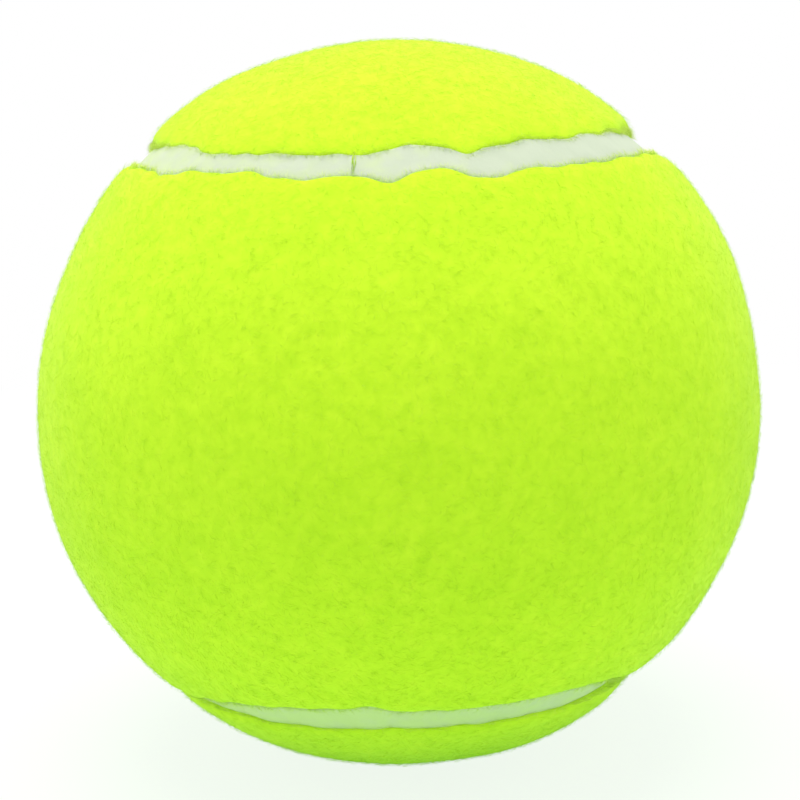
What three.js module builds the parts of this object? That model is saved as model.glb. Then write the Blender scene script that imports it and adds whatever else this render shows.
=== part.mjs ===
// Tennis ball: two rubber half-shells cemented into a hollow core, two dog-bone felt panels bonded
// to it by their rubber back coats, and one white rubber seam in the joint between the panels.
// Millimetres, +Z up, origin at the centre of the ball. The waist of the front panel faces -Y and
// its lobes wrap round +X and -X; the rear panel faces +Y and its lobes wrap round +Z and -Z.
import * as THREE from "three";
import { mergeVertices } from "three/addons/utils/BufferGeometryUtils.js";

// Driving dimensions
const BALL_DIAMETER = 66.7;
const FELT_THICKNESS = 2.9;
const BACK_COAT_THICKNESS = 0.4;
const CORE_WALL = 3.4;
const CEMENT_THICKNESS = 0.5; // bond line between the rims of the core's halves
const LAYER_GAP = 0.3; // clearance between bonded pieces
const WAIST_WIDTH = 47.7; // across a panel's waist, over the surface, between seam centre lines
const SEAM_WIDTH = 2.2;
const SEAM_DEPTH = 0.7; // from the felt's surface down to the seam's crown
const SEAM_CROWN = 0.25; // rise of the seam from its edges to its crown
const SHOULDER_WIDTH = 1.8; // rounded edge of the felt, measured over the surface
const SHOULDER_DROP = 0.6; // and measured down into the ball

// How far the seam's flanks are straightened between waist and lobe, 0 for a plain two-wave seam
const FLANK_FULLNESS = 0.021;

// Facet counts
const SEAM_STATIONS = 96; // a multiple of 4, so that both panels and the seam share their stations
const PANEL_STEPS = 5; // from a panel's spine to its edge
const SHOULDER_STEPS = 4;
const CORE_SIDES = 40;
const CORE_STEPS = 10; // from the core's rim to its pole

// Radii of the layers, from the felt inwards
const ballRadius = BALL_DIAMETER / 2;
const feltInside = ballRadius - FELT_THICKNESS;
const coatOutside = feltInside - LAYER_GAP;
const coatInside = coatOutside - BACK_COAT_THICKNESS;
const coreOutside = coatInside - LAYER_GAP;
const coreInside = coreOutside - CORE_WALL;
const rimHeight = CEMENT_THICKNESS / 2; // rims lie this far from the plane of the joint
const panelEdge = SEAM_WIDTH / 2 + LAYER_GAP; // from the seam's centre line to the felt

const waistHalfAngle = WAIST_WIDTH / 2 / ballRadius;

const feltMaterial = () => new THREE.MeshStandardMaterial({ color: 0xbef32a, roughness: 0.95 });
const seamMaterial = () => new THREE.MeshStandardMaterial({ color: 0xe2ecd4, roughness: 0.7 });
const coatMaterial = () => new THREE.MeshStandardMaterial({ color: 0xcfc39a, roughness: 0.6 });
const coreMaterial = () => new THREE.MeshStandardMaterial({ color: 0x2b2b2d, roughness: 0.8 });
const cementMaterial = () => new THREE.MeshStandardMaterial({ color: 0x4a463f, roughness: 0.6 });

// The seam's centre line on a sphere of radius 1. It runs once round the ball, passing two lobe ends
// and two waists of each panel, and half a turn about the axis (1, 0, 1) maps it onto itself.
class SeamCurve extends THREE.Curve {
  getPoint(t, target = new THREE.Vector3()) {
    const turn = 2 * Math.PI * t;
    const wave = (1 - Math.sin(waistHalfAngle)) / 2;
    const round = 1 - wave - FLANK_FULLNESS;
    const swing = Math.cos(waistHalfAngle);
    return target
      .set(
        round * Math.cos(turn) - wave * Math.cos(3 * turn) + FLANK_FULLNESS * Math.cos(5 * turn),
        swing * Math.cos(2 * turn),
        round * Math.sin(turn) + wave * Math.sin(3 * turn) + FLANK_FULLNESS * Math.sin(5 * turn),
      )
      .normalize();
  }

  // Unit direction in the surface, square to the seam, towards the front panel
  across(t) {
    const ahead = 1e-4;
    const along = this.getPoint(t + ahead).sub(this.getPoint(t - ahead));
    return this.getPoint(t).cross(along).normalize();
  }
}

const seamCurve = new SeamCurve();
const stations = Array.from({ length: SEAM_STATIONS }, (_, i) => ({
  out: seamCurve.getPoint(i / SEAM_STATIONS),
  across: seamCurve.across(i / SEAM_STATIONS),
}));

// Direction of the point at a distance from the seam, measured over the ball's surface
function besideSeam(station, distance) {
  const angle = distance / ballRadius;
  return station.out.clone().multiplyScalar(Math.cos(angle)).addScaledVector(station.across, Math.sin(angle));
}

// The front panel's spine: an arc from the middle of one lobe, on +X, over the waist to the other.
// Stations on the two sides of the panel share their spine point.
const spine = stations.map((_, i) => {
  const { out } = stations[Math.min(i, SEAM_STATIONS - i)];
  const fromWaist = Math.atan2(out.x, -out.y);
  const along = (Math.PI / 2) * Math.sin(((Math.PI / 2) * fromWaist) / (Math.PI - waistHalfAngle));
  return new THREE.Vector3(Math.sin(along), -Math.cos(along), 0);
});

// A closed ring of points along the seam, at one distance from its centre line
const seamRing = (distance, radius) =>
  stations.map((station) => besideSeam(station, distance).setLength(radius));

// A closed ring of points on the front panel: share 0 is its spine, share 1 the line beside the seam
const panelRing = (distance, radius, share) =>
  stations.map((station, i) => spine[i].clone().lerp(besideSeam(station, distance), share).setLength(radius));

// The rings of one face of the front panel, from its spine out to its edge
const panelFace = (distance, radius) =>
  Array.from({ length: PANEL_STEPS + 1 }, (_, step) => panelRing(distance, radius, step / PANEL_STEPS));

// Skin over a row of rings, each as long as the stations; a closed row joins its last ring to its first
function loft(rings, closed) {
  const indices = [];
  const rows = closed ? rings.length : rings.length - 1;
  for (let row = 0; row < rows; row++) {
    for (let i = 0; i < SEAM_STATIONS; i++) {
      const near = row * SEAM_STATIONS;
      const far = ((row + 1) % rings.length) * SEAM_STATIONS;
      const next = (i + 1) % SEAM_STATIONS;
      indices.push(near + i, far + i, far + next);
      indices.push(near + i, far + next, near + next);
    }
  }
  const skin = new THREE.BufferGeometry().setFromPoints(rings.flat()).setIndex(indices);
  const merged = mergeVertices(skin);
  merged.computeVertexNormals();
  return merged;
}

// Felt panel: full radius from the spine to a rounded shoulder, then a wall down to the back coat
function feltPanelGeometry() {
  const shoulder = Array.from({ length: SHOULDER_STEPS }, (_, step) => {
    const turn = ((step + 1) / SHOULDER_STEPS) * (Math.PI / 2);
    const distance = panelEdge + SHOULDER_WIDTH * (1 - Math.sin(turn));
    return seamRing(distance, ballRadius - SHOULDER_DROP * (1 - Math.cos(turn)));
  });
  return loft([
    ...panelFace(panelEdge + SHOULDER_WIDTH, ballRadius),
    ...shoulder,
    ...panelFace(panelEdge, feltInside).reverse(),
  ]);
}

// Back coat: a thin layer of rubber adhesive under the whole felt panel
function backCoatGeometry() {
  return loft([...panelFace(panelEdge, coatOutside), ...panelFace(panelEdge, coatInside).reverse()]);
}

// Seam: a crowned strip that stands on the core and runs once round the ball between the panels
function seamGeometry() {
  const half = SEAM_WIDTH / 2;
  const foot = coreOutside + LAYER_GAP;
  const crown = ballRadius - SEAM_DEPTH;
  const shoulder = crown - SEAM_CROWN;
  const section = [
    [half, foot],
    [half, shoulder],
    [half / 2, crown],
    [-half / 2, crown],
    [-half, shoulder],
    [-half, foot],
  ];
  return loft(section.map(([distance, radius]) => seamRing(distance, radius)), true);
}

// Points of a quarter arc from the rim plane up to the pole, in the plane of a lathe profile
function quarterArc(radius) {
  const start = Math.asin(rimHeight / radius);
  return Array.from({ length: CORE_STEPS + 1 }, (_, step) => {
    const angle = start + (step / CORE_STEPS) * (Math.PI / 2 - start);
    const onPole = step === CORE_STEPS;
    return new THREE.Vector2(onPole ? 0 : radius * Math.cos(angle), radius * Math.sin(angle));
  });
}

// Half-shell of the core, a hollow cap whose flat rim faces down
function coreHalfGeometry() {
  const profile = [...quarterArc(coreInside).reverse(), ...quarterArc(coreOutside)];
  return new THREE.LatheGeometry(profile, CORE_SIDES).rotateX(Math.PI / 2);
}

// Cement ring between the rims, as wide as they are
function cementGeometry() {
  const [inner, outer] = [coreInside, coreOutside].map((radius) => quarterArc(radius)[0].x);
  const profile = [
    new THREE.Vector2(inner, -rimHeight),
    new THREE.Vector2(outer, -rimHeight),
    new THREE.Vector2(outer, rimHeight),
    new THREE.Vector2(inner, rimHeight),
    new THREE.Vector2(inner, -rimHeight),
  ];
  return new THREE.LatheGeometry(profile, CORE_SIDES).rotateX(Math.PI / 2);
}

function named(name, geometry, material) {
  const mesh = new THREE.Mesh(geometry, material);
  mesh.name = name;
  return mesh;
}

// The cover's halves are one blank each: the rear one is the front one turned half round (1, 0, 1)
function coverHalf(side) {
  const half = new THREE.Group();
  half.add(named(`back_coat_${side}`, backCoatGeometry(), coatMaterial()));
  half.add(named(`felt_panel_${side}`, feltPanelGeometry(), feltMaterial()));
  return half;
}

const ball = new THREE.Group();

const upperHalf = named("core_half_upper", coreHalfGeometry(), coreMaterial());
const lowerHalf = named("core_half_lower", coreHalfGeometry(), coreMaterial());
lowerHalf.rotation.x = Math.PI;
ball.add(upperHalf, lowerHalf, named("core_joint_cement", cementGeometry(), cementMaterial()));

const rearCover = coverHalf("rear");
rearCover.quaternion.setFromAxisAngle(new THREE.Vector3(1, 0, 1).normalize(), Math.PI);
ball.add(coverHalf("front"), rearCover);

ball.add(named("seam_rubber", seamGeometry(), seamMaterial()));

export default ball;
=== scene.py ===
"""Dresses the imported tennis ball: brushed felt panels with their nap, the uneven rubber seam, the hidden
core, and a white floor under soft light. Metres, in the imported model's frame: +Z up, with the waist of the
front panel facing -Y."""
import itertools
import math

import bpy
import numpy as np
from mathutils import Matrix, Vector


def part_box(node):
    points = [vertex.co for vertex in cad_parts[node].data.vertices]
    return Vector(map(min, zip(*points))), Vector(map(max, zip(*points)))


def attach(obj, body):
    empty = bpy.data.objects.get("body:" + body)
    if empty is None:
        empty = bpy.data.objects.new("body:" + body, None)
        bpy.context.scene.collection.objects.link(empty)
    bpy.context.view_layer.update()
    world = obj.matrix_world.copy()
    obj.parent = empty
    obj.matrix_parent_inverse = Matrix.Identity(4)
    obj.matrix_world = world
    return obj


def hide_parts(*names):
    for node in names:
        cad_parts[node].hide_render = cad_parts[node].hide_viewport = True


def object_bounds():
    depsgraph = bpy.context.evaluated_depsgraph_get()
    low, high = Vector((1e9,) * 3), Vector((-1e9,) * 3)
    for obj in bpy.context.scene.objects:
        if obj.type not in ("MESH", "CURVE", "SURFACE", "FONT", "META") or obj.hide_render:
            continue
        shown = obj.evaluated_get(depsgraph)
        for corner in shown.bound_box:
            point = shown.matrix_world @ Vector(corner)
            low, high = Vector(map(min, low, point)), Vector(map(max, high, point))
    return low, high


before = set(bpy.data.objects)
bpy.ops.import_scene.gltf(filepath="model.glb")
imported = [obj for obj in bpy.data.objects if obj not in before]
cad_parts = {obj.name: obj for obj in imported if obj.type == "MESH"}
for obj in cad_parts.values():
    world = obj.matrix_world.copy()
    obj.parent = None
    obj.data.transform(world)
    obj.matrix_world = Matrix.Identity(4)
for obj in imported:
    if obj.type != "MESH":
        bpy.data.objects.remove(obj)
cad_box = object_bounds()

MM = 0.001

# The ball, as its solids have it
BALL_RADIUS = cad_box[1].z
CORE_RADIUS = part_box("core_half_upper")[1].z
FELT_THICKNESS = 2.9 * MM
LAYER_GAP = 0.3 * MM
WAIST_WIDTH = 47.7 * MM  # across a panel's waist, over the surface
HALF_WAIST = WAIST_WIDTH / 2 / BALL_RADIUS  # as an angle, from the waist's middle to the seam
FLANK_FULLNESS = 0.021  # how far the seam's flanks are straightened

# Felt
FELT_INSIDE = BALL_RADIUS - FELT_THICKNESS
GROUND_DEPTH = 0.15 * MM  # the matted ground, which the nap stands on, lies this deep
FELT_RADIUS = BALL_RADIUS - GROUND_DEPTH
FELT_RELIEF = (  # size and height of its lumps, clumps and tufts
    (8 * MM, 0.1 * MM),
    (2.1 * MM, 0.04 * MM),
    (0.8 * MM, 0.025 * MM),
)
SHOULDER_WIDTH = 1.3 * MM
SHOULDER_DROP = 0.3 * MM
SWELL = 0.05 * MM  # how far the felt stands up along its edges
SWELL_FROM_EDGE = 3.4 * MM
SWELL_SPREAD = 2.8 * MM
SWELL_WAVE = 16 * MM  # along the edge the swell comes and goes in waves of this size

# Where the outline is fuller or flatter: bearing from the front to the right and elevation in degrees, then
# half length and height in mm
FELT_BULGES = (
    (-76.0, 22.0, 8.0, -0.3),
    (-70.0, -20.0, 11.0, 0.25),
    (-39.0, -58.0, 8.0, 0.3),
    (-72.0, 61.0, 6.5, 0.28),
    (72.0, 62.0, 5.0, 0.25),
    (76.0, 31.0, 7.0, 0.22),
    (75.0, 9.0, 6.0, -0.2),
    (39.0, -58.0, 5.0, 0.33),
)

# Seam
SEAM_HALF_WIDTH = 1.3 * MM
SEAM_DEPTH = 0.4 * MM
SEAM_OVERLAP = 0.12 * MM  # the rubber coats the felt's edges by this much
SEAM_RELIEF = ((1.4 * MM, 0.1 * MM), (0.5 * MM, 0.04 * MM))  # size and height of its waves and its grain
EDGE_RELIEF = ((4.4 * MM, 0.105 * MM), (1.5 * MM, 0.33 * MM))  # and of the waves in the felt's edges
EDGE_LEAST = 0.05 * MM  # the nearest they come to the seam's centre line

# The seam's section: share of the way to the front felt, or below 0 to the rear one, and share of the
# height from foot to crown
SEAM_SECTION = (
    (1.0, 0.0),
    (1.0, 0.96),
    (0.91, 0.984),
    (0.75, 0.996),
    (0.45, 1.0),
    (0.0, 1.0),
    (-0.45, 1.0),
    (-0.8, 1.0),
    (-1.0, 1.0),
    (-1.0, 0.0),
)

# Where the seam swells or narrows: turn in degrees, then half length and growth to front and rear in mm
SEAM_LUMPS = (
    (132.0, 9.0, -0.3, 0.0),
    (127.0, 6.5, 0.0, 0.35),
    (116.0, 2.5, 0.2, 0.2),
    (109.5, 2.5, -0.25, -0.4),
    (105.5, 3.0, -0.1, -0.3),
    (102.5, 2.0, -0.3, 0.0),
    (98.2, 2.2, 0.3, -0.3),
    (96.3, 1.5, 0.0, -0.35),
    (93.0, 1.6, -0.3, -0.5),
    (91.2, 1.6, 0.65, 0.0),
    (88.8, 1.9, 0.1, 0.4),
    (86.2, 1.5, -0.5, -0.05),
    (83.2, 1.2, 0.3, -0.7),
    (81.0, 1.6, 0.3, 0.0),
    (75.5, 2.6, 0.1, 0.15),
    (68.7, 2.6, 0.1, 0.35),
    (62.0, 2.2, 0.0, 0.3),
    (53.0, 6.5, 0.0, 0.45),
    (297.0, 3.5, -1.15, -1.15),
    (288.0, 4.0, 0.8, -0.4),
    (272.0, 18.0, 0.25, 0.05),
    (270.3, 1.5, -0.35, 0.0),
    (266.5, 1.6, 0.65, 0.1),
    (258.0, 6.0, 0.1, 0.35),
    (242.0, 7.0, -1.15, -1.15),
)

# Where the seam lies deeper: turn in degrees, then half length, growth of its depth and growth of the
# front's and the rear's rounded edge in mm
GROOVE_CHANGES = (
    (52.0, 7.0, 0.7, 1.0, 0.2),
    (128.0, 7.0, 0.6, 0.3, 0.3),
    (299.0, 7.0, 0.75, 2.5, 2.5),
    (242.0, 7.0, 0.1, 0.0, 0.0),
)

# Mesh density
STATIONS = 840  # round each panel, a multiple of 4
FACE_ROWS = 72  # from a panel's spine to its shoulder
SHOULDER_ROWS = 10
WALL_ROWS = 3
BACK_ROWS = 8
SEAM_STATIONS = 1200
PANEL_STRIPS = 4  # in a panel's map
SEAM_STRIPS = 8  # in the seam's map

# Nap, and the fringe of nap along the felt's edges
NAP_PIECES = 2  # on each panel
NAP_STRANDS = 32000  # in each piece
NAP_LENGTH = (0.5 * MM, 1.1 * MM)
NAP_FLOW = 3.5 * MM  # size of the patches that lie one way
NAP_SCATTER = 1.0  # how far each fibre strays from the lie of the nap
NAP_RISE = (0.15, 0.6)  # how steeply each fibre leaves the felt
RISE_COST = 0.4  # how much of its lean a fibre gives up for that
TIP_RISE = 0.25  # share of the rise that is left in its tip
NAP_CURL = 0.7  # how far its tip turns aside
BEND_AT = 0.45  # share of its length below its bend
ROOT_DEPTH = 0.06 * MM
STRAND_RADIUS = (0.006 * MM, 0.01 * MM)
FRINGE_ROWS = 4  # of the shoulder's, which the fringe grows on
FRINGE_STRANDS = 12000  # along each panel's edge
FRINGE_LENGTH = (0.3 * MM, 0.9 * MM)
FRINGE_LEAN = 1.2  # how far the fringe leans over the seam

# A few fibres that lie across the seam in one place
STRAYS = 6
STRAY_TURN = math.radians(93.4)
STRAY_SPREAD = 0.08 * MM  # of the fibres, along the seam
STRAY_DRIFT = 0.1 * MM  # of each fibre's points, along the seam
STRAY_REACH = 1.2  # of the seam's half width, to their ends
STRAY_SWING = 0.3  # of the half width, to their bends
STRAY_END_HEIGHT = 0.15 * MM
STRAY_BEND_HEIGHT = 0.12 * MM
STRAY_RADIUS = 0.022 * MM

# Seeds of what is left to chance
EDGE_SEEDS = (11, 21)  # front and rear
SWELL_SEED = 31
FELT_SEED = 32
FLOW_SEED = 41
SEAM_SEED = 51
NAP_SEED = 61
FRINGE_SEED = 66
STRAY_SEED = 71

# Colours, as sRGB
FELT_TONES = ((185, 229, 38), (193, 234, 42), (201, 237, 48))  # deep, middle and pale
FRINGE_TONES = ((202, 234, 84), (212, 239, 104), (222, 243, 126))  # paler than the felt: partly whitened by the rubber, partly painted light that lifts the fibres' shade along the seam
SHEEN_TINT = (250, 252, 200)
SEAM_COLOUR = (187, 201, 180)
# the greener colour serves both the stain spots and the painted green bounce light to the left and below
SEAM_STAIN_AND_BOUNCE = (194, 217, 147)
SEAM_STAIN_AND_BOUNCE_AXIS = (-12.0, 0, -15.0)  # the seam turns greener to the left and below, per metre: partly stain, partly painted green bounce light from the felt
CORE_COLOUR = (43, 43, 45)
CEMENT_COLOUR = (74, 70, 63)
COAT_COLOUR = (207, 195, 154)

# Where the colours lie along the noise that mixes them
FELT_STOPS = (0.3, 0.5, 0.7)
RUBBER_STOPS = (0.35, 0.7)
SEAM_STOPS = (0.1, 0.9)
SPECK_STOPS = (0.5, 0.8)
BROAD_SHARE = 0.4  # of the felt's broad patches against its fine ones

# How strongly the felt's ground and its fibres shine at a glancing angle
FELT_SHEEN = 0.12
NAP_SHEEN = 0.2

# Strength and depth of the bumps
FELT_BUMP = (0.5, 0.06 * MM)
RUBBER_BUMP = (0.4, 0.04 * MM)

# Light and floor, in linear colours
WHITE = (1.0, 1.0, 1.0, 1.0)
BLACK = (0.0, 0.0, 0.0, 1.0)
FLOOR_RADIUS = 3.0
FLOOR_SIDES = 64
FLOOR_COLOUR = (0.58, 0.66, 0.6, 1.0)
FLOOR_GLOW = (0.175, 0.335, 0.17, 1.0)  # the floor's own light, which fills the ball's underside
NEAR_WHITE = 0.8  # how far the floor is plain white to the camera close to the ball
WHITE_FROM, WHITE_TO = 0.04, 0.3  # and over which distances it turns so throughout
DOME_LIGHT = (0.9, 0.9, 0.9, 1.0)
FRONT_LIGHT = (0.165, 0.165, 0.165, 1.0)
FRONT_AXIS = (0.1, -0.905, -0.414)  # the dome is dim on this side
FRONT_FROM, FRONT_TO = 0.2, 0.7
KEY_STRENGTH = 2.94
KEY_COLOUR = (1.0, 0.88, 0.86)
KEY_TILT = (math.radians(4.6), math.radians(-2.5), 0)  # from straight down
KEY_WIDTH = math.radians(40)

# Camera, from the run of the seam in the photograph
CAMERA_DISTANCE = 3.6 * BALL_RADIUS
CAMERA_ELEVATION = math.radians(8.6)
CAMERA_ROLL = math.radians(1.7)
BALL_SHARE = 0.908  # of the picture's width that the ball's outline takes
SENSOR = 36.0
SHIFT = (0.001, 0.002)  # the ball sits a little left of and below the middle


def unit(vectors):
    return vectors / np.linalg.norm(vectors, axis=-1, keepdims=True)


def linear(colour):
    """An sRGB colour of 0 to 255 as the linear RGBA that shaders take."""
    shares = np.array(colour) / 255
    low = shares / 12.92
    high = ((shares + 0.055) / 1.055) ** 2.4
    return (*np.where(shares <= 0.04045, low, high), 1.0)


class Noise:
    """Smooth seeded waves in space, each about one cell across and up to one height tall, up or down."""

    SIZE = 32

    def __init__(self, seed, cell, height=1.0):
        self.cell = cell
        self.height = height
        self.values = np.random.default_rng(seed).uniform(-1, 1, (self.SIZE,) * 3)

    def __call__(self, points):
        scaled = points / self.cell
        low = np.floor(scaled).astype(int)
        share = scaled - low
        share = share * share * (3 - 2 * share)
        total = np.zeros(points.shape[:-1])
        for corner in itertools.product((0, 1), repeat=3):
            weight = np.prod(np.where(corner, share, 1 - share), axis=-1)
            x, y, z = np.moveaxis((low + corner) % self.SIZE, -1, 0)
            total += weight * self.values[x, y, z]
        return self.height * total


def relief_waves(first_seed, relief):
    """Waves of each size and height in turn, with seeds that count up."""
    return [Noise(seed, cell, height) for seed, (cell, height) in enumerate(relief, first_seed)]


EDGE_WAVES = [relief_waves(seed, EDGE_RELIEF) for seed in EDGE_SEEDS]
SWELL_WAVES = Noise(SWELL_SEED, SWELL_WAVE)
FELT_WAVES = relief_waves(FELT_SEED, FELT_RELIEF)
FLOW_WAVES = [Noise(FLOW_SEED + axis, NAP_FLOW) for axis in range(3)]
SEAM_WAVES = relief_waves(SEAM_SEED, SEAM_RELIEF)


def full_turn(count):
    """One turn in equal steps, from 0."""
    return 2 * math.pi * np.arange(count) / count


# The seam's course, shared by the felt panels and the seam
def seam_direction(turns):
    """Unit vectors to the seam's centre line, which runs once round the ball as turns go from 0 to 2 pi."""
    wave = (1 - math.sin(HALF_WAIST)) / 2
    circle = 1 - wave - FLANK_FULLNESS
    across = circle * np.cos(turns) - wave * np.cos(3 * turns) + FLANK_FULLNESS * np.cos(5 * turns)
    depth = math.cos(HALF_WAIST) * np.cos(2 * turns)
    height = circle * np.sin(turns) + wave * np.sin(3 * turns) + FLANK_FULLNESS * np.sin(5 * turns)
    return unit(np.stack([across, depth, height], axis=-1))


def seam_side(turns):
    """Unit vectors in the surface, square to the seam, towards the front panel."""
    ahead = 1e-4
    along = seam_direction(turns + ahead) - seam_direction(turns - ahead)
    return unit(np.cross(seam_direction(turns), along))


def beside_seam(turns, distance):
    """Unit vectors to the points at a distance from the seam, measured over the surface."""
    angle = (distance / BALL_RADIUS)[..., None]
    return seam_direction(turns) * np.cos(angle) + seam_side(turns) * np.sin(angle)


def half_turn(points):
    """Half a turn about the axis (1, 0, 1), which maps the front panel onto the rear one."""
    return points[..., [2, 1, 0]] * (1, -1, 1)


def nearness(directions, centre, half_length):
    """1 at one direction, falling off smoothly over a half length in mm."""
    away = np.linalg.norm(directions - centre, axis=-1) * BALL_RADIUS / MM
    return np.exp(-((away / half_length) ** 2))


def edge_distance(directions, side):
    """From the seam's centre line to the felt of side 0, front, or 1, rear."""
    points = directions * BALL_RADIUS
    distance = SEAM_HALF_WIDTH + sum(waves(points) for waves in EDGE_WAVES[side])
    for turn, half_length, *growth in SEAM_LUMPS:
        near = nearness(directions, seam_direction(np.radians(turn)), half_length)
        distance += growth[side] * MM * near
    return np.maximum(distance, EDGE_LEAST)


def groove_change(directions, side):
    """How much deeper the seam lies, and how much wider one side's rounded edge is, at points on it."""
    deeper = np.zeros(directions.shape[:-1])
    wider = np.zeros(directions.shape[:-1])
    for turn, half_length, depth, *widths in GROOVE_CHANGES:
        near = nearness(directions, seam_direction(np.radians(turn)), half_length)
        deeper += depth * MM * near
        wider += widths[side] * MM * near
    return deeper, wider


# Meshes
def grid_object(name, points, uv_strips, closed=False, spines=False):
    """A mesh over rows of stations. A closed grid joins its last row to its first; with spines, the first
    and last rows are lines whose two sides share their points. The map's strips hold equal runs of
    stations."""
    rows, count = points.shape[:2]
    index = np.arange(rows * count).reshape(rows, count)
    if spines:
        mirrored = np.minimum(np.arange(count), count - np.arange(count))
        index[0] = mirrored
        index[-1] = (rows - 1) * count + mirrored
    below = index if closed else index[:-1]
    above = np.roll(index, -1, axis=0) if closed else index[1:]
    quads = np.stack([below, above, np.roll(above, -1, axis=1), np.roll(below, -1, axis=1)], axis=-1)
    used, packed = np.unique(quads, return_inverse=True)
    mesh = bpy.data.meshes.new(name)
    mesh.from_pydata(points.reshape(-1, 3)[used].tolist(), [], packed.reshape(-1, 4).tolist())
    mesh.shade_smooth()
    row, station = np.divmod(np.arange(len(mesh.polygons)), count)
    strip, place = np.divmod(station, count // uv_strips)
    corners_u = (place[:, None] + (0, 0, 1, 1)) / (count // uv_strips)
    corners_v = (strip[:, None] + (row[:, None] + (0, 1, 1, 0)) / len(below)) / uv_strips
    add_map(mesh, np.stack([corners_u, corners_v], axis=-1))
    return link(name, mesh)


def add_map(mesh, corners):
    """The map that the materials are baked through."""
    layer = mesh.uv_layers.new(name="OFBake")
    layer.data.foreach_set("uv", corners.astype(np.float32).ravel())


def link(name, mesh):
    piece = bpy.data.objects.new(name, mesh)
    bpy.context.scene.collection.objects.link(piece)
    return piece


# Felt panels
def felt_height(directions, from_edge):
    """How far the felt's ground stands above its mean radius, at a distance from its edge."""
    points = directions * BALL_RADIUS
    along_edge = np.exp(-(((from_edge - SWELL_FROM_EDGE) / SWELL_SPREAD) ** 2))
    height = SWELL * along_edge * (1 + SWELL_WAVES(points))
    for bearing, elevation, half_length, bulge in FELT_BULGES:
        across, up = np.radians((bearing, elevation))
        centre = (math.sin(across) * math.cos(up), -math.cos(across) * math.cos(up), math.sin(up))
        height += bulge * MM * nearness(directions, centre, half_length)
    return height + sum(waves(points) for waves in FELT_WAVES)


def panel_points(side):
    """Rows of points over one panel, from its spine over the outside, the shoulder and the wall to the
    spine of its back."""
    place = half_turn if side else np.asarray
    stations = np.arange(STATIONS)
    turns = full_turn(STATIONS)
    mirrored = seam_direction(turns[np.minimum(stations, STATIONS - stations) % STATIONS])
    from_waist = np.arctan2(mirrored[:, 0], -mirrored[:, 1])
    along = math.pi / 2 * np.sin(math.pi / 2 * from_waist / (math.pi - HALF_WAIST))
    spine = np.stack([np.sin(along), -np.cos(along), np.zeros(STATIONS)], axis=-1)
    edge = edge_distance(place(seam_direction(turns)), side)
    deeper, wider = groove_change(place(seam_direction(turns)), side)
    drop = SHOULDER_DROP + deeper
    width = SHOULDER_WIDTH + wider
    edge_line = beside_seam(turns, edge)

    def face(line, count):
        """Unit vectors from the spine out to a line along the seam."""
        shares = np.linspace(0, 1, count + 1)[:, None, None]
        return unit(spine * (1 - shares) + line * shares)

    outside = face(beside_seam(turns, edge + width), FACE_ROWS)
    from_edge = np.arccos(np.clip((outside * edge_line).sum(-1), -1, 1)) * BALL_RADIUS
    rows = list(outside * (FELT_RADIUS + felt_height(place(outside), from_edge))[..., None])
    for bend in np.linspace(0, math.pi / 2, SHOULDER_ROWS + 1)[1:]:
        from_edge = width * (1 - math.sin(bend))
        line = beside_seam(turns, edge + from_edge)
        height = felt_height(place(line), from_edge)
        radius = FELT_RADIUS + height * math.cos(bend) - drop * (1 - math.cos(bend))
        rows.append(line * radius[:, None])
    for share in np.linspace(0, 1, WALL_ROWS + 1)[1:-1]:
        rows.append(edge_line * ((1 - share) * (FELT_RADIUS - drop) + share * FELT_INSIDE)[:, None])
    rows.extend(face(edge_line, BACK_ROWS)[::-1] * FELT_INSIDE)
    return place(np.array(rows))


def nap_object(name, ground, count, lengths, over_edge, seed):
    """Short fibres that lean out of rows of the felt's points, and over the last row by a share."""
    rng = np.random.default_rng(seed)
    corner = [ground[:-1], ground[1:], np.roll(ground[1:], -1, axis=1), np.roll(ground[:-1], -1, axis=1)]
    a, b, c, d = (points.reshape(-1, 3) for points in corner)
    areas = np.linalg.norm(np.cross(c - a, d - b), axis=1)
    chosen = rng.choice(len(areas), count, p=areas / areas.sum())
    s, t = rng.random((2, count, 1))
    roots = (a[chosen] * (1 - s) + b[chosen] * s) * (1 - t) + (d[chosen] * (1 - s) + c[chosen] * s) * t
    up = unit(roots)
    flow = np.stack([waves(roots) for waves in FLOW_WAVES], axis=-1)
    flow += rng.normal(0, NAP_SCATTER, roots.shape)
    flow += over_edge * unit(b - a)[chosen]
    lean = unit(flow - up * (flow * up).sum(-1, keepdims=True))
    aside = np.cross(up, lean)
    curl = rng.normal(0, NAP_CURL, (count, 1))
    length = rng.uniform(*lengths, (count, 1))
    radius = rng.uniform(*STRAND_RADIUS, (count, 1))
    rise = rng.uniform(*NAP_RISE, (count, 1))
    first = unit(up * rise + lean * (1 - RISE_COST * rise))
    second = unit(up * rise * TIP_RISE + lean + aside * curl)
    foot = roots - up * ROOT_DEPTH
    bend = foot + first * length * BEND_AT
    tip = bend + second * length * (1 - BEND_AT)
    return strands_object(name, foot, bend, tip, up, radius)


# A strand's points are its foot, three round its bend and its tip; its faces lie in one cell of the map
STRAND_FACES = ((0, 2, 1), (0, 3, 2), (0, 1, 3), (1, 2, 4), (2, 3, 4), (3, 1, 4))
FOOT_MAP = [[(k + 0.5, 0), (k + 1, 1), (k, 1)] for k in range(3)]
TIP_MAP = [[(k, 1), (k + 1, 1), (k + 0.5, 2)] for k in range(3)]
MAP_SCALE = (0.26, 0.4)
MAP_MARGIN = 0.1
RING_TURNS = np.radians((90, 210, 330))


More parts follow.
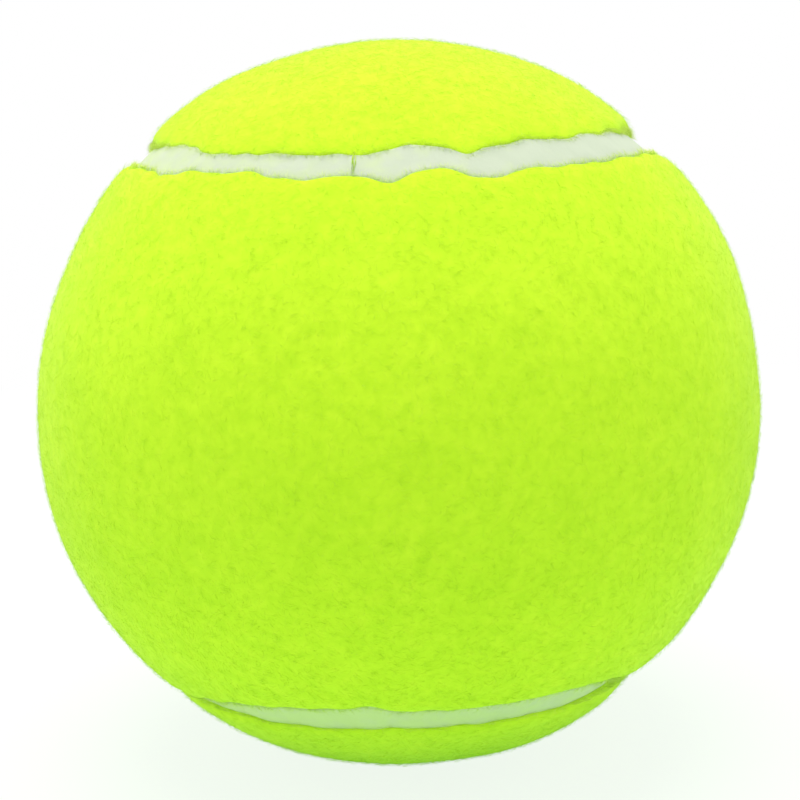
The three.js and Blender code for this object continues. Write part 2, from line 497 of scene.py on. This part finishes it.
def strands_object(name, foot, bend, tip, up, radius):
    """One mesh of many strands, each a closed spindle of six faces that is thickest at its bend."""
    count = len(foot)
    ahead = unit(bend - foot)
    aside = unit(np.cross(up, ahead))
    above = np.cross(ahead, aside)
    ring = [bend + radius * (aside * math.cos(turn) + above * math.sin(turn)) for turn in RING_TURNS]
    points = np.stack([foot, *ring, tip], axis=1)
    faces = (np.arange(count) * points.shape[1])[:, None, None] + np.array(STRAND_FACES)
    mesh = bpy.data.meshes.new(name)
    mesh.from_pydata(points.reshape(-1, 3).tolist(), [], faces.reshape(-1, 3).tolist())
    mesh.shade_smooth()
    cells = math.ceil(math.sqrt(count))  # along each side of the map
    cell = np.stack(np.divmod(np.arange(count), cells), axis=-1)[:, None, None]
    add_map(mesh, (cell + MAP_MARGIN + np.array(FOOT_MAP + TIP_MAP) * MAP_SCALE) / cells)
    return link(name, mesh)


# Seam
def seam_points():
    """Rows of points along the seam, one row for each point of its section."""
    turns = full_turn(SEAM_STATIONS)
    centre = seam_direction(turns)
    deeper, _ = groove_change(centre, 0)
    foot = CORE_RADIUS + LAYER_GAP
    reach = [edge_distance(centre, side) + SEAM_OVERLAP for side in (0, 1)]
    rows = []
    for share, lift in SEAM_SECTION:
        line = beside_seam(turns, share * (reach[0] if share > 0 else reach[1]))
        grain = sum(waves(line * BALL_RADIUS) for waves in SEAM_WAVES)
        fading = 1 - share**2  # towards the felt the grain dies out
        crown = BALL_RADIUS - SEAM_DEPTH - deeper + grain * fading
        rows.append(line * (foot + lift * (crown - foot))[:, None])
    return np.array(rows)


def stray_object(name):
    """The few fibres that lie across the seam in one place."""
    rng = np.random.default_rng(STRAY_SEED)
    turns = STRAY_TURN + rng.normal(0, STRAY_SPREAD, STRAYS) / BALL_RADIUS
    swing = rng.uniform(-STRAY_SWING, STRAY_SWING, STRAYS)
    ends = []
    for share, height in (
        (STRAY_REACH, STRAY_END_HEIGHT),
        (swing, STRAY_BEND_HEIGHT),
        (-STRAY_REACH, STRAY_END_HEIGHT),
    ):
        drift = rng.normal(0, STRAY_DRIFT, STRAYS) / BALL_RADIUS
        line = beside_seam(turns + drift, share * SEAM_HALF_WIDTH * np.ones(STRAYS))
        ends.append(line * (BALL_RADIUS - SEAM_DEPTH + height))
    foot, bend, tip = ends
    return strands_object(name, foot, bend, tip, unit(foot), np.full((STRAYS, 1), STRAY_RADIUS))


# Materials
def new_material(name, **values):
    """A material with a Principled shader, whose sockets take these values by their names in lower case."""
    material = bpy.data.materials.new(name)
    material.use_nodes = True
    shader = material.node_tree.nodes["Principled BSDF"]
    for socket, value in values.items():
        shader.inputs[socket.replace("_", " ").title().replace("Ior", "IOR")].default_value = value
    return material, material.node_tree, shader


def noise_node(tree, size, detail=2.0):
    """A noise texture with features about this many metres across, on object coordinates."""
    coordinates = tree.nodes.new("ShaderNodeTexCoord")
    node = tree.nodes.new("ShaderNodeTexNoise")
    node.inputs["Scale"].default_value = 1 / size
    node.inputs["Detail"].default_value = detail
    tree.links.new(coordinates.outputs["Object"], node.inputs["Vector"])
    return node.outputs["Fac"]


def dot_node(tree, vector, axis):
    node = tree.nodes.new("ShaderNodeVectorMath")
    node.operation = "DOT_PRODUCT"
    node.inputs[1].default_value = axis
    tree.links.new(vector, node.inputs[0])
    return node.outputs["Value"]


def math_node(tree, operation, first, second):
    node = tree.nodes.new("ShaderNodeMath")
    node.operation = operation
    tree.links.new(first, node.inputs[0])
    tree.links.new(second, node.inputs[1])
    return node.outputs["Value"]


def ramp_node(tree, value, positions, colours):
    """Linear colours along a value, each at its position."""
    node = tree.nodes.new("ShaderNodeValToRGB")
    elements = node.color_ramp.elements
    while len(elements) < len(colours):
        elements.new(0.5)
    for element, position, colour in zip(elements, positions, colours):
        element.position = position
        element.color = colour
    tree.links.new(value, node.inputs["Fac"])
    return node.outputs["Color"]


def mix_node(tree, share, first, second):
    """A mix of two colours. Each input is a value or another node's output."""
    node = tree.nodes.new("ShaderNodeMix")
    node.data_type = "RGBA"
    for socket, value in (("Factor", share), ("A", first), ("B", second)):
        wanted = [s for s in node.inputs if s.name == socket and s.enabled][0]
        if isinstance(value, bpy.types.NodeSocket):
            tree.links.new(value, wanted)
        else:
            wanted.default_value = value
    return [s for s in node.outputs if s.enabled][0]


def bump_node(tree, shader, height, strength, distance):
    node = tree.nodes.new("ShaderNodeBump")
    node.inputs["Strength"].default_value = strength
    node.inputs["Distance"].default_value = distance
    tree.links.new(height, node.inputs["Height"])
    tree.links.new(node.outputs["Normal"], shader.inputs["Normal"])


def mix_shaders(tree, share, first, second, surface):
    """Sends a mix of two shaders to a surface, all first where the share is 0."""
    node = tree.nodes.new("ShaderNodeMixShader")
    for socket, source in enumerate((share, first, second)):
        tree.links.new(source, node.inputs[socket])
    tree.links.new(node.outputs["Shader"], surface)


def felt_material(name, sheen, tones):
    """Matted fibres in three tones, with specks of the deepest one."""
    material, tree, shader = new_material(
        name,
        roughness=0.95,
        specular_ior_level=0.15,
        sheen_weight=sheen,
        sheen_roughness=0.45,
        sheen_tint=linear(SHEEN_TINT),
    )
    colours = [linear(tone) for tone in tones]
    fine = ramp_node(tree, noise_node(tree, size=0.9 * MM, detail=3.0), FELT_STOPS, colours)
    broad = ramp_node(tree, noise_node(tree, size=7 * MM), FELT_STOPS, colours)
    ground = mix_node(tree, BROAD_SHARE, fine, broad)
    specks = ramp_node(tree, noise_node(tree, size=1.1 * MM, detail=1.0), SPECK_STOPS, (BLACK, WHITE))
    tree.links.new(mix_node(tree, specks, ground, colours[0]), shader.inputs["Base Color"])
    bump_node(tree, shader, noise_node(tree, size=0.35 * MM, detail=3.0), *FELT_BUMP)
    return material


def rubber_material(name, colour, stain_factor, spot, roughness):
    """Matt rubber, mottled in spots of one size between a colour and a multiple of it."""
    material, tree, shader = new_material(name, roughness=roughness)
    colours = (linear(colour), linear([channel * stain_factor for channel in colour]))
    mottle = ramp_node(tree, noise_node(tree, size=spot, detail=3.0), RUBBER_STOPS, colours)
    tree.links.new(mottle, shader.inputs["Base Color"])
    bump_node(tree, shader, noise_node(tree, size=spot / 4), *RUBBER_BUMP)
    return material


def seam_material():
    """Matt off-white rubber, stained by the felt in spots, and greener to the left and below, partly with
    painted green bounce light.
    """
    material, tree, shader = new_material("seam_rubber", roughness=0.75)
    place = tree.nodes.new("ShaderNodeTexCoord").outputs["Object"]
    spots = noise_node(tree, size=1.6 * MM, detail=3.0)
    # painted green bounce light: the greening grows to the left and below, on top of the stain spots
    stain_and_bounce = math_node(tree, "ADD", spots, dot_node(tree, place, SEAM_STAIN_AND_BOUNCE_AXIS))
    colours = (linear(SEAM_COLOUR), linear(SEAM_STAIN_AND_BOUNCE))
    tree.links.new(ramp_node(tree, stain_and_bounce, SEAM_STOPS, colours), shader.inputs["Base Color"])
    bump_node(tree, shader, noise_node(tree, size=0.4 * MM), *RUBBER_BUMP)
    return material


def dress(piece, material):
    piece.data.materials.clear()
    piece.data.materials.append(material)


# Pieces of the ball
def add_cover():
    felt = felt_material("felt", FELT_SHEEN, FELT_TONES)
    nap = felt_material("nap", NAP_SHEEN, FELT_TONES)
    # the fringe's paler tones are partly rubber on the fibres and partly painted light that lifts their
    # shade along the seam
    whitened_and_lit = felt_material("fringe", NAP_SHEEN, FRINGE_TONES)
    edge_row = FACE_ROWS + SHOULDER_ROWS
    for side, word in enumerate(("front", "rear")):
        points = panel_points(side)
        panel = grid_object(f"felt_{word}", points, PANEL_STRIPS, spines=True)
        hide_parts(f"felt_panel_{word}")
        dress(panel, felt)
        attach(panel, "root")
        outside = points[:edge_row]
        edge = points[edge_row - FRINGE_ROWS : edge_row + 1]
        seed = FRINGE_SEED + side
        fringe = nap_object(f"fringe_{word}", edge, FRINGE_STRANDS, FRINGE_LENGTH, FRINGE_LEAN, seed)
        dress(fringe, whitened_and_lit)
        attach(fringe, "root")
        for part in range(NAP_PIECES):
            seed = NAP_SEED + NAP_PIECES * side + part
            piece = nap_object(f"nap_{word}_{part + 1}", outside, NAP_STRANDS, NAP_LENGTH, 0.0, seed)
            dress(piece, nap)
            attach(piece, "root")
    stray = stray_object("nap_stray")
    dress(stray, nap)
    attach(stray, "root")


def add_seam():
    seam = grid_object("seam", seam_points(), SEAM_STRIPS, closed=True)
    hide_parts("seam_rubber")
    dress(seam, seam_material())
    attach(seam, "root")


def dress_core():
    rubber = rubber_material("core_rubber", CORE_COLOUR, stain_factor=1.35, spot=6 * MM, roughness=0.8)
    cement = rubber_material("joint_cement", CEMENT_COLOUR, stain_factor=0.8, spot=2 * MM, roughness=0.6)
    coat = rubber_material("back_coat", COAT_COLOUR, stain_factor=0.88, spot=3 * MM, roughness=0.6)
    for node, material in (
        ("core_half_upper", rubber),
        ("core_half_lower", rubber),
        ("core_joint_cement", cement),
        ("back_coat_front", coat),
        ("back_coat_rear", coat),
    ):
        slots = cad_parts[node].data.materials
        slots.clear()
        slots.append(material)


# Stage
def seen_directly(tree):
    """1 for what the camera sees, straight or through gloss and glass, and 0 for light on the object."""
    path = tree.nodes.new("ShaderNodeLightPath")
    share = path.outputs["Is Camera Ray"]
    for ray in ("Is Glossy Ray", "Is Transmission Ray"):
        share = math_node(tree, "MAXIMUM", share, path.outputs[ray])
    return share


def add_floor():
    """A floor that takes the ball's shadow, and turns plain white to the camera away from the ball."""
    turns = full_turn(FLOOR_SIDES)
    rim = np.stack([np.cos(turns), np.sin(turns), np.zeros(FLOOR_SIDES)], axis=-1) * FLOOR_RADIUS
    mesh = bpy.data.meshes.new("floor")
    mesh.from_pydata(rim.tolist(), [], [list(range(FLOOR_SIDES))])
    floor = link("floor", mesh)
    floor.location.z = -BALL_RADIUS
    material, tree, shader = new_material(
        "floor",
        base_color=FLOOR_COLOUR,
        roughness=1.0,
        specular_ior_level=0.0,
        emission_color=FLOOR_GLOW,
        emission_strength=1.0,
    )
    coordinates = tree.nodes.new("ShaderNodeTexCoord")
    length = tree.nodes.new("ShaderNodeVectorMath")
    length.operation = "LENGTH"
    tree.links.new(coordinates.outputs["Object"], length.inputs[0])
    fade = tree.nodes.new("ShaderNodeMapRange")
    fade.inputs["From Min"].default_value = WHITE_FROM
    fade.inputs["From Max"].default_value = WHITE_TO
    fade.inputs["To Min"].default_value = NEAR_WHITE
    tree.links.new(length.outputs["Value"], fade.inputs["Value"])
    share = math_node(tree, "MULTIPLY", fade.outputs["Result"], seen_directly(tree))
    white = tree.nodes.new("ShaderNodeEmission").outputs["Emission"]
    surface = tree.nodes["Material Output"].inputs["Surface"]
    mix_shaders(tree, share, shader.outputs["BSDF"], white, surface)
    mesh.materials.append(material)


def add_world():
    """A dome of light that is darker to the front, and plain white to the camera."""
    world = bpy.data.worlds.new("studio")
    bpy.context.scene.world = world
    world.use_nodes = True
    tree = world.node_tree
    light = tree.nodes["Background"]
    coordinates = tree.nodes.new("ShaderNodeTexCoord")
    forward = dot_node(tree, coordinates.outputs["Generated"], FRONT_AXIS)
    dome = ramp_node(tree, forward, (FRONT_FROM, FRONT_TO), (DOME_LIGHT, FRONT_LIGHT))
    tree.links.new(dome, light.inputs["Color"])
    white = tree.nodes.new("ShaderNodeBackground")
    white.inputs["Color"].default_value = WHITE
    surface = tree.nodes["World Output"].inputs["Surface"]
    lit, plain = (node.outputs["Background"] for node in (light, white))
    mix_shaders(tree, seen_directly(tree), lit, plain, surface)


def add_key():
    lamp = bpy.data.lights.new("key", "SUN")
    lamp.energy = KEY_STRENGTH
    lamp.color = KEY_COLOUR
    lamp.angle = KEY_WIDTH
    key = bpy.data.objects.new("key", lamp)
    key.rotation_euler = KEY_TILT
    bpy.context.scene.collection.objects.link(key)


def add_camera():
    lens = bpy.data.cameras.new("camera")
    lens.sensor_width = SENSOR
    outline = math.tan(math.asin(BALL_RADIUS / CAMERA_DISTANCE))
    lens.lens = SENSOR / 2 * BALL_SHARE / outline
    lens.shift_x, lens.shift_y = SHIFT
    lens.clip_start = 1 * MM
    camera = bpy.data.objects.new("camera", lens)
    turn = Matrix.Rotation(math.pi / 2 - CAMERA_ELEVATION, 4, "X") @ Matrix.Rotation(-CAMERA_ROLL, 4, "Z")
    camera.matrix_world = turn @ Matrix.Translation((0, 0, CAMERA_DISTANCE))
    bpy.context.scene.collection.objects.link(camera)
    bpy.context.scene.camera = camera


add_camera()
add_cover()
add_seam()
dress_core()
add_floor()
add_world()
add_key()
bpy.context.scene.view_settings.view_transform = "Standard"
